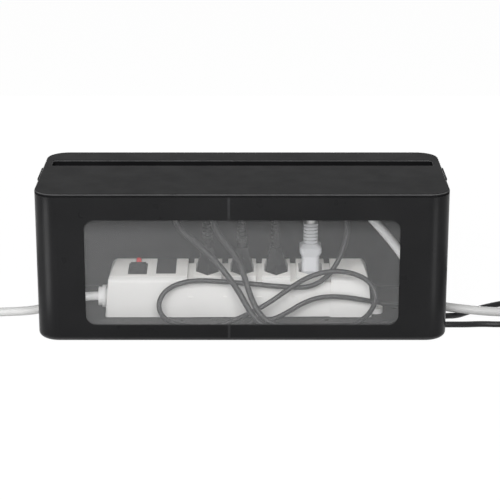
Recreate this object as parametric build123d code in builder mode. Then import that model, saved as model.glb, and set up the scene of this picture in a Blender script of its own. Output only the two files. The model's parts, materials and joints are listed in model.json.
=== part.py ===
from build123d import *
from math import cos, pi, radians, sin, sqrt, tan
import os

# A cable box with a see-through front window and a lift-off lid, the power strip that stands in it,
# and the cords of what is plugged in. Millimetres, +Z up, the front at -Y.
# The origin is on the table, under the middle of the box.

os.makedirs("parts", exist_ok=True)

# Clearances and overruns
overrun = 1.0
loose_gap = 0.3

# Box
box_width = 400.0
box_depth = 160.0
box_height = 150.0
corner_radius = 22.0
wall = 2.5
floor_thickness = 3.2
bottom_fillet = 5.0
inside_fillet = 2.0
shadow_line_height = 0.8
shadow_line_depth = 1.0

# Feet under the box
foot_height = 0.8
foot_radius = 6.0
foot_pocket = 1.0
foot_inset_x = 18.0
foot_inset_y = 15.0
foot_edge = 0.6

# Window in the front wall
window_side_margin = 48.3
window_top_margin = 23.4
window_radius = 10.0
window_bottom = 18.3
window_edge = 0.5
pane_lap = 5.0
pane_thickness = 1.3

# Cord openings in the short walls
exit_width = 112.0
exit_height = 36.0
exit_radius = 12.0

# Lid
lid_plate = 2.8
lid_edge_fillet = 1.6
skirt_depth = 7.0
skirt_thickness = 2.0
skirt_gap = 0.4
groove_front = 26.5
groove_width = 20.0
groove_margin = 8.0
groove_depth = 9.0
groove_wall = 2.0
groove_radius = 3.0
groove_rim = 1.5
tab_width = 41.0
tab_proud = 1.2
tab_height = 1.8

# Power strip housing
strip_left = -138.0
strip_front = -21.0
strip_depth = 52.0
strip_rear_height = 47.0
strip_top_tilt = 5.0
strip_end_lean = 4.5
strip_end_fillet = 9.0
strip_front_fillet = 6.0
strip_rear_fillet = 2.5
strip_corner_fillet = 3.0
strip_wall = 2.4
strip_roof = 9.0
strip_shadow_gap = 0.8
strip_base_thickness = 3.0
socket_front_setback = 2.5
setback_from = 78.0
setback_to = 226.0

# Lug at the right end of the strip
lug_length = 12.0
lug_width = 14.0
lug_height = 5.5
lug_back = 16.0
lug_hole_radius = 2.2

# Sockets
socket_count = 4
socket_pitch = 34.5
first_socket = 103.0
last_socket_to_end = 61.5
socket_back = 27.0
hex_width = 23.8
hex_length = 41.0
hex_shoulder = 21.0
socket_plate_thickness = 4.0
socket_plate_lap = 0.6
divider_width = 6.2
divider_depth = 6.0
flute_width = 5.0
flute_depth = 1.2
flute_bottom = 22.0

# Switch, reset button and blank module on the strip's top
switch_at = 32.4
switch_back = 23.5
switch_width = 18.6
switch_length = 27.4
switch_depth = 22.0
switch_wall = 1.2
switch_pocket = 12.0
switch_flange = 1.6
rocker_rest_angle = 8.0
rocker_rise = 4.2
rocker_dip = 2.6
rocker_shoulder = 1.0
rocker_keel = 6.5
rocker_keel_half = 4.0
rocker_pivot_depth = 3.0
pivot_radius = 1.2
pivot_reach = 0.9
button_back = 42.3
button_radius = 2.75
button_rise = 4.2
button_stem = 13.0
button_dome = 2.3
breaker_width = 14.0
breaker_length = 9.0
breaker_depth = 18.0
breaker_bore_depth = 9.0
module_at = 61.0
module_width = 19.4
module_front = 11.0
module_depth = 8.0
module_edge = 0.5

# Bars, screws and gland of the strip
bar_thickness = 0.8
bar_height = 10.0
bar_drop = 18.0
bar_margin = 15.0
rib_thickness = 2.0
screw_inset = 10.0
screw_front = 7.0
boss_radius = 3.6
screw_radius = 1.4
screw_length = 15.0
screw_head_radius = 2.6
screw_head_height = 1.6
gland_height = 14.5
gland_back = 26.0
gland_collar_radius = 11.5
gland_nose_radius = 9.5
gland_step = 4.0
gland_neck_radius = 8.0
gland_inner = 5.0

# Plugs in the sockets
plug_hex_width = 21.6
plug_hex_length = 38.0
plug_hex_shoulder = 18.0
plug_neck = 11.4
plug_neck_length = 13.0
plug_neck_shoulder = 7.0
plug_neck_height = 23.0
relief_rib_count = 7
relief_pitch = 4.2
relief_rib = 2.6
relief_base_radius = 5.4
relief_tip_radius = 4.5
relief_core_radius = 3.5
pin_radius = 2.4
pin_length = 19.0
pin_pitch = 19.0
pin_hole_gap = 0.4
white_width = 17.6
white_body_length = 26.0
white_shoulder_length = 20.0
white_shoulder_height = 15.0
white_wing_width = 22.0
white_wing_length = 21.0
white_wing_low = 19.0
white_wing_high = 24.0
white_neck = 14.6
white_neck_length = 12.6
white_neck_height = 27.5
white_corner = 4.0
white_rib_count = 6
white_rib_pitch = 3.6
white_rib = 2.3
white_core_inset = 1.6
pin_tip = 1.0
plug_flat = 1.0

# Cords: diameters, coils and what is on their ends
black_diameter = 5.0
heavy_diameter = 6.0
white_diameter = 9.0
bend_share = 0.45
lead_out = 12.0
lead_in = 20.0
coil_lift = 1.3
layer_gap = 0.55
coil_radius_share = 3.8
tie_width = 6.0
tie_thickness = 0.8
tie_gap = 0.8
tie_corner = 2.0
end_tail = 18.0
table_gap = 0.3
gap_steps = 48
connector_relief = 11.0
connector_relief_radius = 3.6
connector_width = 10.6
connector_length = 21.0
connector_corner = 2.5
connector_slot_depth = 8.0
connector_slot_radius = 1.8
wide_relief_radius = 6.0
wide_connector_width = 13.0
wide_connector_height = 22.0
mains_plug_width = 17.0
mains_plug_height = 34.0
mains_plug_length = 30.0
mains_plug_corner = 6.0

# Worked-out places of the box and the strip
floor_top = foot_height + floor_thickness
tub_top = box_height - lid_plate
window_width = box_width - 2 * window_side_margin
window_height = tub_top - window_top_margin - window_bottom
inner_width = box_width - 2 * wall
inner_depth = box_depth - 2 * wall
inner_radius = corner_radius - wall
strip_length = first_socket + (socket_count - 1) * socket_pitch + last_socket_to_end
strip_right = strip_left + strip_length
strip_rear = strip_front + strip_depth
cover_bottom = floor_top + strip_shadow_gap
base_top = floor_top + strip_base_thickness

# The strip's top face leans to the front. Places on it are given from the strip's left end, along its
# length, from its front face, along the slope, and square to it.
tilt = radians(strip_top_tilt)
strip_roof_plane = Plane(
    origin=(strip_left, strip_rear, floor_top + strip_rear_height),
    x_dir=(1, 0, 0),
    z_dir=(0, -sin(tilt), cos(tilt)),
)


def roof_point(along, back, rise=0.0):
    """A point by its distance along the strip, its distance behind the strip's front, and its rise."""
    return strip_roof_plane.from_local_coords((along, (back - strip_depth) / cos(tilt), rise))


def roof_plane_at(along, back, rise=0.0):
    """A plane square to the strip's sloped top, at a place on it."""
    return Plane(
        origin=roof_point(along, back, rise),
        x_dir=strip_roof_plane.x_dir,
        z_dir=strip_roof_plane.z_dir,
    )


def finish(name, builder):
    """Names a finished piece and writes it."""
    builder.part.label = name
    export_step(builder.part, f"parts/{name}.step")


def hexagon_outline(width, length, shoulder):
    """The outline of a long hexagon with its tips to the front and the rear."""
    return [
        (0, -length / 2),
        (width / 2, -shoulder / 2),
        (width / 2, shoulder / 2),
        (0, length / 2),
        (-width / 2, shoulder / 2),
        (-width / 2, -shoulder / 2),
    ]


socket_places = [first_socket + socket_pitch * i for i in range(socket_count)]
socket_middle = (socket_places[0] + socket_places[-1]) / 2
switch_place = roof_plane_at(switch_at, switch_back)
button_place = roof_plane_at(switch_at, button_back)


# The tub: a moulded open box with a window, two cord openings and pockets for the feet
foot_spots = GridLocations(box_width - 2 * foot_inset_x, box_depth - 2 * foot_inset_y, 2, 2)
window_middle = window_bottom + window_height / 2
with BuildPart() as tub:
    with BuildSketch(Plane.XY.offset(foot_height)):
        RectangleRounded(box_width, box_depth, corner_radius)
    extrude(amount=tub_top - foot_height)
    fillet(tub.faces().sort_by(Axis.Z)[0].edges(), bottom_fillet)
    with BuildSketch(Plane.XY.offset(floor_top)):
        RectangleRounded(inner_width, inner_depth, inner_radius)
    extrude(amount=tub_top - floor_top, mode=Mode.SUBTRACT)
    inside_floor = tub.faces().filter_by(Axis.Z).sort_by(Axis.Z)[1]
    fillet(inside_floor.edges(), inside_fillet)
    with BuildSketch(Plane.XZ.offset(box_depth / 2)):
        with Locations((0, window_middle)):
            RectangleRounded(window_width, window_height, window_radius)
    extrude(amount=-2 * wall, mode=Mode.SUBTRACT)
    front_face = tub.faces().filter_by(Axis.Y).sort_by(Axis.Y)[0]
    fillet(front_face.inner_wires()[0].edges(), window_edge)
    with BuildSketch(Plane.XZ.offset(box_depth / 2 - wall)):
        with Locations((0, window_middle)):
            RectangleRounded(
                window_width + 2 * pane_lap + 2 * loose_gap,
                window_height + 2 * pane_lap + 2 * loose_gap,
                window_radius + pane_lap + loose_gap,
            )
    extrude(amount=pane_thickness, mode=Mode.SUBTRACT)
    with BuildSketch(Plane.YZ):
        with Locations((0, floor_top + exit_height / 2)):
            RectangleRounded(exit_width, exit_height, exit_radius)
        with Locations((0, floor_top + exit_radius / 2)):
            Rectangle(exit_width, exit_radius)
    extrude(amount=box_width / 2 + overrun, both=True, mode=Mode.SUBTRACT)
    with BuildSketch(Plane.XY.offset(tub_top)):
        RectangleRounded(box_width + 2 * overrun, box_depth + 2 * overrun, corner_radius + overrun)
        RectangleRounded(
            box_width - 2 * shadow_line_depth,
            box_depth - 2 * shadow_line_depth,
            corner_radius - shadow_line_depth,
            mode=Mode.SUBTRACT,
        )
    extrude(amount=-shadow_line_height, mode=Mode.SUBTRACT)
    with BuildSketch(Plane.XY.offset(foot_height)):
        with foot_spots:
            Circle(foot_radius + loose_gap)
    extrude(amount=foot_pocket, mode=Mode.SUBTRACT)
finish("base_tub", tub)

# The window pane, glued into the rebate behind the front wall
with BuildPart() as pane:
    with BuildSketch(Plane.XZ.offset(box_depth / 2 - wall)):
        with Locations((0, window_middle)):
            RectangleRounded(
                window_width + 2 * pane_lap,
                window_height + 2 * pane_lap,
                window_radius + pane_lap,
            )
    extrude(amount=pane_thickness)
finish("window_pane", pane)

# Four rubber feet in shallow pockets
with BuildPart() as feet:
    with BuildSketch():
        with foot_spots:
            Circle(foot_radius)
    extrude(amount=foot_height + foot_pocket)
    fillet(feet.faces().filter_by(Axis.Z).group_by(Axis.Z)[0].edges(), foot_edge)
finish("rubber_feet", feet)

# The lid: a plate with a skirt inside the tub's walls, a groove to stand a tablet in, and finger tabs
groove_middle = groove_front + groove_width / 2
groove_length = box_width - 2 * groove_margin
skirt_width = inner_width - 2 * skirt_gap
skirt_length = inner_depth - 2 * skirt_gap
with BuildPart() as lid:
    with BuildSketch(Plane.XY.offset(tub_top)):
        RectangleRounded(box_width, box_depth, corner_radius)
    extrude(amount=lid_plate)
    fillet(lid.faces().sort_by(Axis.Z)[-1].edges(), lid_edge_fillet)
    with BuildSketch(Plane.XY.offset(tub_top)):
        RectangleRounded(skirt_width, skirt_length, inner_radius - skirt_gap)
        RectangleRounded(
            skirt_width - 2 * skirt_thickness,
            skirt_length - 2 * skirt_thickness,
            inner_radius - skirt_gap - skirt_thickness,
            mode=Mode.SUBTRACT,
        )
    extrude(amount=-skirt_depth)
    with BuildSketch(Plane.XY.offset(box_height - groove_depth - groove_wall)):
        with Locations((0, groove_middle)):
            RectangleRounded(
                groove_length + 2 * groove_wall, groove_width + 2 * groove_wall, groove_radius + groove_wall
            )
    extrude(amount=groove_depth + groove_wall - lid_plate / 2)
    with BuildSketch(Plane.XY.offset(box_height - groove_depth)):
        with Locations((0, groove_middle)):
            RectangleRounded(groove_length, groove_width, groove_radius)
    extrude(amount=groove_depth + overrun, mode=Mode.SUBTRACT)
    fillet(lid.faces().sort_by(Axis.Z)[-1].inner_wires()[0].edges(), groove_rim)
    with BuildSketch(Plane.XY.offset(tub_top)):
        Rectangle(box_width + 2 * tab_proud, tab_width)
        Rectangle(box_width - 2 * corner_radius, tab_width, mode=Mode.SUBTRACT)
    extrude(amount=tab_height)
finish("lid", lid)

# The strip's cover: its front outline and its end outline, crossed, hollow below and open at the bottom
cover_top_left = strip_left + strip_end_lean
cover_top_right = strip_right - strip_end_lean
roof_high = floor_top + strip_rear_height
roof_front_high = roof_high - strip_depth * tan(tilt)
roof_sheer = strip_roof / cos(tilt)
cavity_left = strip_left + strip_end_lean + strip_wall
cavity_right = strip_right - strip_end_lean - strip_wall
cavity_front = strip_front + strip_wall + socket_front_setback
cavity_rear = strip_rear - strip_wall
slope_length = strip_depth / cos(tilt)
divider_places = [first_socket + socket_pitch * (i - 1 / 2) for i in range(socket_count + 1)]
lug_middle = strip_front + lug_back
gland_axis = Plane(
    origin=(strip_left, strip_front + gland_back, floor_top + gland_height),
    x_dir=(0, 1, 0),
    z_dir=(1, 0, 0),
)
screw_spots = [
    (x, y)
    for x in (cavity_left + screw_inset, cavity_right - screw_inset)
    for y in (cavity_front + screw_front, cavity_rear - screw_front)
]
with BuildPart() as cover:
    with BuildSketch(Plane.XZ.offset(-strip_front)) as front_view:
        with BuildLine():
            Polyline(
                (strip_left, cover_bottom),
                (strip_right, cover_bottom),
                (cover_top_right, roof_high),
                (cover_top_left, roof_high),
                close=True,
            )
        make_face()
        fillet(front_view.vertices().group_by(Axis.Y)[-1], strip_end_fillet)
    extrude(amount=-strip_depth)
    with BuildSketch(Plane.YZ.offset(strip_left - overrun)) as end_view:
        with BuildLine():
            Polyline(
                (strip_front, cover_bottom),
                (strip_rear, cover_bottom),
                (strip_rear, roof_high),
                (strip_front, roof_front_high),
                close=True,
            )
        make_face()
        fillet(end_view.vertices().sort_by(Axis.Y)[-1], strip_rear_fillet)
        fillet(end_view.vertices().group_by(Axis.X)[0].sort_by(Axis.Y)[-1], strip_front_fillet)
    extrude(amount=strip_length + 2 * overrun, mode=Mode.INTERSECT)
    with BuildSketch(Plane.XY):
        with Locations(((strip_left + strip_right) / 2, (strip_front + strip_rear) / 2)):
            RectangleRounded(strip_length, strip_depth, strip_corner_fillet)
    extrude(amount=box_height, mode=Mode.INTERSECT)
    with BuildSketch(Plane.XY.offset(cover_bottom)):
        with BuildLine():
            Polyline(
                (strip_left + setback_from, strip_front),
                (strip_left + setback_to, strip_front),
                (strip_left + setback_to, strip_front + socket_front_setback),
                close=True,
            )
        make_face()
    extrude(amount=strip_rear_height, mode=Mode.SUBTRACT)
    with BuildSketch(Plane.YZ.offset(cavity_left)):
        with BuildLine():
            Polyline(
                (cavity_front, cover_bottom),
                (cavity_rear, cover_bottom),
                (cavity_rear, roof_high - roof_sheer - strip_wall * tan(tilt)),
                (cavity_front, roof_front_high - roof_sheer + (cavity_front - strip_front) * tan(tilt)),
                close=True,
            )
        make_face()
    extrude(amount=cavity_right - cavity_left, mode=Mode.SUBTRACT)
    for along in divider_places:
        with BuildSketch(roof_plane_at(along, strip_depth / 2)):
            Rectangle(divider_width, slope_length + 2 * overrun)
        extrude(amount=-divider_depth, mode=Mode.SUBTRACT)
        set_back = socket_front_setback * (along - setback_from) / (setback_to - setback_from)
        with BuildSketch(Plane.XZ.offset(-strip_front)):
            with Locations((strip_left + along, roof_high)):
                Rectangle(
                    flute_width,
                    strip_rear_height - flute_bottom,
                    align=(Align.CENTER, Align.MAX),
                )
        extrude(amount=-set_back - flute_depth, mode=Mode.SUBTRACT)
    for along in socket_places:
        with BuildSketch(roof_plane_at(along, socket_back)):
            with BuildLine():
                Polyline(*hexagon_outline(hex_width, hex_length, hex_shoulder), close=True)
            make_face()
        extrude(amount=-strip_roof - overrun, mode=Mode.SUBTRACT)
    with BuildSketch(switch_place):
        Rectangle(switch_width + 2 * loose_gap, switch_length + 2 * loose_gap)
    extrude(amount=-strip_roof - overrun, mode=Mode.SUBTRACT)
    with BuildSketch(button_place):
        Circle(button_radius + loose_gap)
    extrude(amount=-strip_roof - overrun, mode=Mode.SUBTRACT)
    with BuildSketch(roof_plane_at(module_at, module_front)):
        Rectangle(module_width + 2 * loose_gap, slope_length, align=(Align.CENTER, Align.MIN))
    extrude(amount=-module_depth, mode=Mode.SUBTRACT)
    with BuildSketch(Plane.XY.offset(base_top)):
        with Locations(*screw_spots):
            Circle(boss_radius)
    extrude(amount=roof_high - roof_sheer + overrun - base_top)
    with BuildSketch(Plane.XY.offset(base_top)):
        with Locations(*screw_spots):
            Circle(screw_radius + loose_gap)
    extrude(amount=screw_length, mode=Mode.SUBTRACT)
    with BuildSketch(gland_axis):
        Circle(gland_neck_radius + loose_gap)
    extrude(amount=cavity_left - strip_left, mode=Mode.SUBTRACT)
    with BuildSketch(Plane.XY.offset(cover_bottom)):
        with Locations((strip_right, lug_middle)):
            SlotOverall(2 * lug_length, lug_width)
        with Locations((strip_right + lug_length - lug_width / 2, lug_middle)):
            Circle(lug_hole_radius, mode=Mode.SUBTRACT)
        with Locations((strip_right - strip_end_lean, lug_middle)):
            Rectangle(2 * lug_length, lug_width, align=(Align.MAX, Align.CENTER), mode=Mode.SUBTRACT)
    extrude(amount=lug_height)
finish("strip_cover", cover)

# The strip's base plate, with ribs that carry the bars
bar_low = bar_drop + bar_height
rib_plane = roof_plane_at(socket_middle, socket_back, -bar_low)
rib_drop = (rib_plane.origin.Z - base_top + strip_base_thickness / 2) / cos(tilt)
rib_reach = pin_pitch - 2 * pin_radius - 2 * loose_gap
with BuildPart() as strip_base:
    with BuildSketch(Plane.XY.offset(floor_top)):
        with Locations((cavity_left + loose_gap, cavity_front + loose_gap)):
            Rectangle(
                cavity_right - cavity_left - 2 * loose_gap,
                cavity_rear - cavity_front - 2 * loose_gap,
                align=(Align.MIN, Align.MIN),
            )
    extrude(amount=strip_base_thickness)
    with BuildSketch(rib_plane):
        with Locations(*[(along - socket_middle, 0) for along in divider_places[1:-1]]):
            Rectangle(rib_thickness, rib_reach)
    extrude(amount=-rib_drop)
    with BuildSketch(Plane.XY.offset(floor_top)):
        with Locations(*screw_spots):
            Circle(screw_radius + loose_gap)
    extrude(amount=strip_base_thickness, mode=Mode.SUBTRACT)
    with BuildSketch(Plane.XY.offset(floor_top)):
        with Locations(*screw_spots):
            Circle(screw_head_radius + loose_gap)
    extrude(amount=screw_head_height, mode=Mode.SUBTRACT)
finish("strip_base", strip_base)

# Four screws from below
with BuildPart() as screws:
    with BuildSketch(Plane.XY.offset(floor_top)):
        with Locations(*screw_spots):
            Circle(screw_head_radius)
    extrude(amount=screw_head_height)
    with BuildSketch(Plane.XY.offset(floor_top)):
        with Locations(*screw_spots):
            Circle(screw_radius)
    extrude(amount=screw_length)
finish("strip_screws", screws)

# The socket floors, one under each hexagonal recess, with two pin holes
with BuildPart() as plates:
    for along in socket_places:
        with BuildSketch(roof_plane_at(along, socket_back, -strip_roof)):
            Rectangle(hex_width + 2 * socket_plate_lap, hex_length + 2 * socket_plate_lap)
            with GridLocations(0, pin_pitch, 1, 2):
                Circle(pin_radius + pin_hole_gap, mode=Mode.SUBTRACT)
        extrude(amount=-socket_plate_thickness)
finish("socket_plates", plates)

# Brass bars beside the rows of pins, and the earth bar between them
bar_offset = pin_pitch / 2 - pin_radius - loose_gap - bar_thickness / 2
bar_length = socket_places[-1] - socket_places[0] + 2 * bar_margin
for name, across in (("busbar_live", -bar_offset), ("busbar_earth", 0), ("busbar_neutral", bar_offset)):
    with BuildPart() as bar:
        with BuildSketch(rib_plane):
            with Locations((0, across)):
                Rectangle(bar_length, bar_thickness)
        extrude(amount=bar_height)
    finish(name, bar)

# The switch: a body in the cover's opening, and the rocker on its pivot
pivot = roof_point(switch_at, switch_back, -rocker_pivot_depth)
pocket_half = switch_length / 2 - switch_wall
rocker_sweep = pocket_half - loose_gap
rocker_tip = sqrt(rocker_sweep**2 - rocker_rise**2)
rocker_low_tip = sqrt(rocker_sweep**2 - rocker_shoulder**2)
rocker_half_width = switch_width / 2 - switch_wall - loose_gap
with BuildPart() as switch_body:
    with BuildSketch(switch_place):
        Rectangle(switch_width, switch_length)
    extrude(amount=-switch_depth)
    with BuildSketch(roof_plane_at(switch_at, switch_back, -strip_roof)):
        Rectangle(switch_width + 2 * switch_flange, switch_length)
    extrude(amount=-switch_flange)
    with BuildSketch(switch_place):
        Rectangle(switch_width - 2 * switch_wall, switch_length - 2 * switch_wall)
    extrude(amount=-switch_pocket, mode=Mode.SUBTRACT)
    with BuildSketch(Plane(origin=pivot, x_dir=(0, 1, 0), z_dir=(1, 0, 0))):
        Circle(pivot_radius + loose_gap)
    extrude(amount=switch_width / 2, both=True, mode=Mode.SUBTRACT)
finish("switch_body", switch_body)

rocker_lean = tilt + radians(rocker_rest_angle)
rocker_plane = Plane(origin=pivot, x_dir=(0, cos(rocker_lean), sin(rocker_lean)), z_dir=(1, 0, 0))
with BuildPart() as rocker:
    with BuildSketch(rocker_plane):
        with BuildLine():
            Polyline((-rocker_tip, rocker_rise), (0, rocker_dip), (rocker_tip, rocker_rise))
            ThreePointArc(
                (rocker_tip, rocker_rise), (rocker_sweep, 0), (rocker_low_tip, -rocker_shoulder)
            )
            Polyline(
                (rocker_low_tip, -rocker_shoulder),
                (rocker_keel_half, -rocker_keel),
                (-rocker_keel_half, -rocker_keel),
                (-rocker_low_tip, -rocker_shoulder),
            )
            ThreePointArc(
                (-rocker_low_tip, -rocker_shoulder), (-rocker_sweep, 0), (-rocker_tip, rocker_rise)
            )
        make_face()
    extrude(amount=rocker_half_width, both=True)
    with BuildSketch(rocker_plane):
        Circle(pivot_radius)
    extrude(amount=rocker_half_width + loose_gap + pivot_reach, both=True)
finish("rocker", rocker)

# The breaker under the roof and its red reset button
with BuildPart() as breaker:
    with BuildSketch(roof_plane_at(switch_at, button_back, -strip_roof)):
        Rectangle(breaker_width, breaker_length)
    extrude(amount=-breaker_depth)
    with BuildSketch(roof_plane_at(switch_at, button_back, -strip_roof)):
        Circle(button_radius + loose_gap)
    extrude(amount=-breaker_bore_depth, mode=Mode.SUBTRACT)
finish("breaker_body", breaker)

with BuildPart() as button:
    with BuildSketch(roof_plane_at(switch_at, button_back, -button_stem)):
        Circle(button_radius)
    extrude(amount=button_stem + button_rise)
    fillet(button.faces().sort_by(Axis.Z)[-1].edges(), button_dome)
finish("reset_button", button)

# The dark blank module, let into the cover up to its rear edge
with BuildPart() as module:
    with BuildSketch(roof_plane_at(module_at, module_front, -module_depth)):
        with Locations((0, loose_gap)):
            Rectangle(
                module_width,
                (strip_depth - module_front) / cos(tilt) - 2 * loose_gap,
                align=(Align.CENTER, Align.MIN),
            )
    extrude(amount=module_depth - loose_gap)
    fillet(module.faces().sort_by(Axis.Z)[-1].edges(), module_edge)
finish("blank_module", module)

# The stepped gland that the strip's own lead leaves
with BuildPart() as gland:
    with BuildSketch(gland_axis):
        Circle(gland_collar_radius)
    extrude(amount=-gland_step)
    with BuildSketch(gland_axis.offset(-gland_step)):
        Circle(gland_nose_radius)
    extrude(amount=-gland_step)
    with BuildSketch(gland_axis):
        Circle(gland_neck_radius)
    extrude(amount=cavity_left - strip_left + gland_inner)
finish("strip_gland", gland)

# Plugs with hexagonal bodies, ribbed reliefs, and two pins each
plug_seats = [roof_plane_at(along, socket_back, -strip_roof) for along in socket_places]
plug_top = strip_roof + plug_flat
neck_top = strip_roof + plug_neck_height
white_neck_top = strip_roof + white_neck_height
relief_step = (relief_base_radius - relief_tip_radius) / (relief_rib_count - 1)
relief_end = neck_top + relief_rib_count * relief_pitch
white_relief_end = white_neck_top + white_rib_count * white_rib_pitch
for number, seat in enumerate(plug_seats[:-1], start=1):
    with BuildPart() as plug:
        with BuildSketch(seat):
            with BuildLine():
                Polyline(*hexagon_outline(plug_hex_width, plug_hex_length, plug_hex_shoulder), close=True)
            make_face()
        extrude(amount=plug_top)
        with BuildSketch(seat.offset(plug_top)):
            with BuildLine():
                Polyline(*hexagon_outline(plug_hex_width, plug_hex_length, plug_hex_shoulder), close=True)
            make_face()
        with BuildSketch(seat.offset(neck_top)):
            with BuildLine():
                Polyline(*hexagon_outline(plug_neck, plug_neck_length, plug_neck_shoulder), close=True)
            make_face()
        loft()
        for rib in range(relief_rib_count):
            rib_top = neck_top + (rib + 1) * relief_pitch
            with BuildSketch(seat.offset(rib_top)):
                Circle(relief_base_radius - rib * relief_step)
            extrude(amount=-relief_rib)
        with BuildSketch(seat.offset(neck_top)):
            Circle(relief_core_radius)
        extrude(amount=relief_end - neck_top)
    finish(f"plug_{number}", plug)

white_seat = plug_seats[-1]
wing_low = strip_roof + white_wing_low
wing_high = strip_roof + white_wing_high
white_shoulder = strip_roof + white_shoulder_height
with BuildPart() as white_plug:
    with BuildSketch(white_seat):
        with BuildLine():
            Polyline(*hexagon_outline(white_width, plug_hex_length, plug_hex_shoulder), close=True)
        make_face()
    extrude(amount=plug_top)
    with BuildSketch(white_seat.offset(plug_top)):
        RectangleRounded(white_width, white_body_length, white_corner)
    with BuildSketch(white_seat.offset(white_shoulder)):
        RectangleRounded(white_width, white_shoulder_length, white_corner)
    loft()
    with BuildSketch(white_seat.offset(white_shoulder)):
        RectangleRounded(white_width, white_shoulder_length, white_corner)
    with BuildSketch(white_seat.offset(wing_low)):
        RectangleRounded(white_wing_width, white_wing_length, white_corner)
    loft()
    with BuildSketch(white_seat.offset(wing_low)):
        RectangleRounded(white_wing_width, white_wing_length, white_corner)
    extrude(amount=wing_high - wing_low)
    with BuildSketch(white_seat.offset(wing_high)):
        RectangleRounded(white_wing_width, white_wing_length, white_corner)
    with BuildSketch(white_seat.offset(white_neck_top)):
        RectangleRounded(white_neck, white_neck_length, white_corner)
    loft()
    for rib in range(white_rib_count):
        with BuildSketch(white_seat.offset(white_neck_top + (rib + 1) * white_rib_pitch)):
            RectangleRounded(white_neck, white_neck_length, white_corner)
        extrude(amount=-white_rib)
    with BuildSketch(white_seat.offset(white_neck_top)):
        RectangleRounded(
            white_neck - 2 * white_core_inset,
            white_neck_length - 2 * white_core_inset,
            white_corner,
        )
    extrude(amount=white_relief_end - white_neck_top)
finish("plug_4", white_plug)

for number, seat in enumerate(plug_seats, start=1):
    with BuildPart() as pins:
        with BuildSketch(seat):
            with GridLocations(0, pin_pitch, 1, 2):
                Circle(pin_radius)
        extrude(amount=-pin_length)
        fillet(pins.faces().sort_by(Axis(seat.origin, seat.z_dir))[:2].edges(), pin_tip)
    finish(f"plug_{number}_pins", pins)

# The cords' places, chosen by hand, from each plug or gland to the straight before its coil
cord_starts = [seat.offset(relief_end) for seat in plug_seats[:-1]]
cord_starts.append(white_seat.offset(white_relief_end))
lead_start = Plane(origin=gland_axis.offset(-2 * gland_step).origin, z_dir=(-1, 0, 0))
cord_1_points = [
    (-40.2, -5, 129.8), (-51.3, -16, 136.2), (-62.3, -27, 129.3), (-66.8, -31.5, 113.8),
    (-61.5, -30, 98.9), (-47, -28.2, 86.6), (-30, -29, 70.6), (-14.8, -34.8, 53.8), (-2.9, -44.5, 39.3),
    (8, -55.2, 21.6), (18.4, -61.6, 11.2), (32, -64.8, 7.7), (52, -65.6, 7.4), (80, -64, 7.3),
    (108, -61.6, 7.3), (138, -58, 7.3), (166, -53, 7.5), (187, -51.4, 7.9), (205, -49, 7.3),
    (222, -41.6, 4.5), (239, -36.6, 3.4), (258, -38.6, 3.4),
]
cord_2_points = [
    (-5.3, -5.4, 129.8), (-15.6, -17.6, 136.2), (-25.7, -29.3, 129.3), (-29.8, -33.8, 113.8),
    (-26, -32.5, 98.6), (-15, -30.5, 84), (-3.9, -31, 68.3), (1.6, -34.2, 53.9), (5.8, -39.5, 41),
    (10.3, -45.5, 29.8), (16.5, -50.8, 19.3), (25.6, -54.3, 11.5), (39, -55.6, 7.9), (62, -54.5, 7.3),
    (90, -53.4, 7.3), (118, -50.5, 7.3), (148, -43.5, 7.3), (172, -36, 7.4), (190, -30.5, 8),
    (204, -24, 7.5), (216.5, -12.5, 3.4), (230, 0.5, 3.3), (246, 13, 3.3), (265, 25, 3.3),
    (286, 30.2, 3.4),
]
cord_3_points = [
    (43, -2.5, 127), (58, -5, 134), (76, -7, 133), (92, -9, 124.5),
    (102.5, -11, 110), (105, -13, 94), (102, -16, 79.5), (95, -22, 63), (84, -27.5, 48.5),
    (66.5, -28, 38.6), (44, -28, 39.2), (8, -27, 42.4), (-16, -27.2, 44.5), (-45, -28, 46.5),
    (-64, -29, 43.5), (-78.5, -31.5, 35.5), (-84.5, -38.5, 22.5), (-77.5, -47, 11.5), (-61, -52.5, 7.6),
    (-44, -55.5, 6.9), (-25, -55.5, 7.2), (-7, -51, 12.8), (12, -43.4, 19.3), (29, -39, 28),
    (47.7, -35.5, 41.2), (66, -34, 52.5), (88.1, -34, 58.6), (110, -35, 56.5), (126.5, -37.5, 48.5),
    (133.5, -43, 34.5), (127, -53, 21), (113, -64, 14), (97, -71, 9), (76, -71.8, 6.8),
    (44, -73.4, 6.8), (16.1, -73.7, 6.8), (6.3, -63.9, 6.8), (6.3, -50.1, 6.8), (16.1, -40.3, 6.8),
    (31, -38.2, 8.6), (46, -35, 15.5), (60, -31, 23.5), (79, -28.2, 29.5), (103, -28, 29),
    (128, -27.3, 24), (150, -17, 17.5), (170, -5.5, 11.5), (187, 0.4, 7.8), (203, 1, 7.6),
    (219, -3, 9.6), (234, -5, 9.2), (250, -0.8, 4.7), (270, 3.4, 2.9), (302, 4.4, 3.1),
    (336, -0.4, 3.3),
]
cord_4_points = [
    (84.6, 2.6, 125.3), (107.3, 5.5, 125.3), (127, 7.5, 103.5), (145, 8, 83),
    (161, 5.5, 63), (176.5, 0, 39.5), (193, -8.9, 13.4), (220, -17.2, 12.5), (246, -17.2, 9.7),
    (272, -15.6, 8), (304, -14.2, 6.8), (336, -12, 6.2),
]
lead_points = [
    (-173, 3.2, 15.8), (-190, -3.2, 11.9), (-208, -7, 7.8), (-226, -4.6, 5.3), (-247, -4.8, 4.8),
    (-284, -13, 5.1),
]

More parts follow.
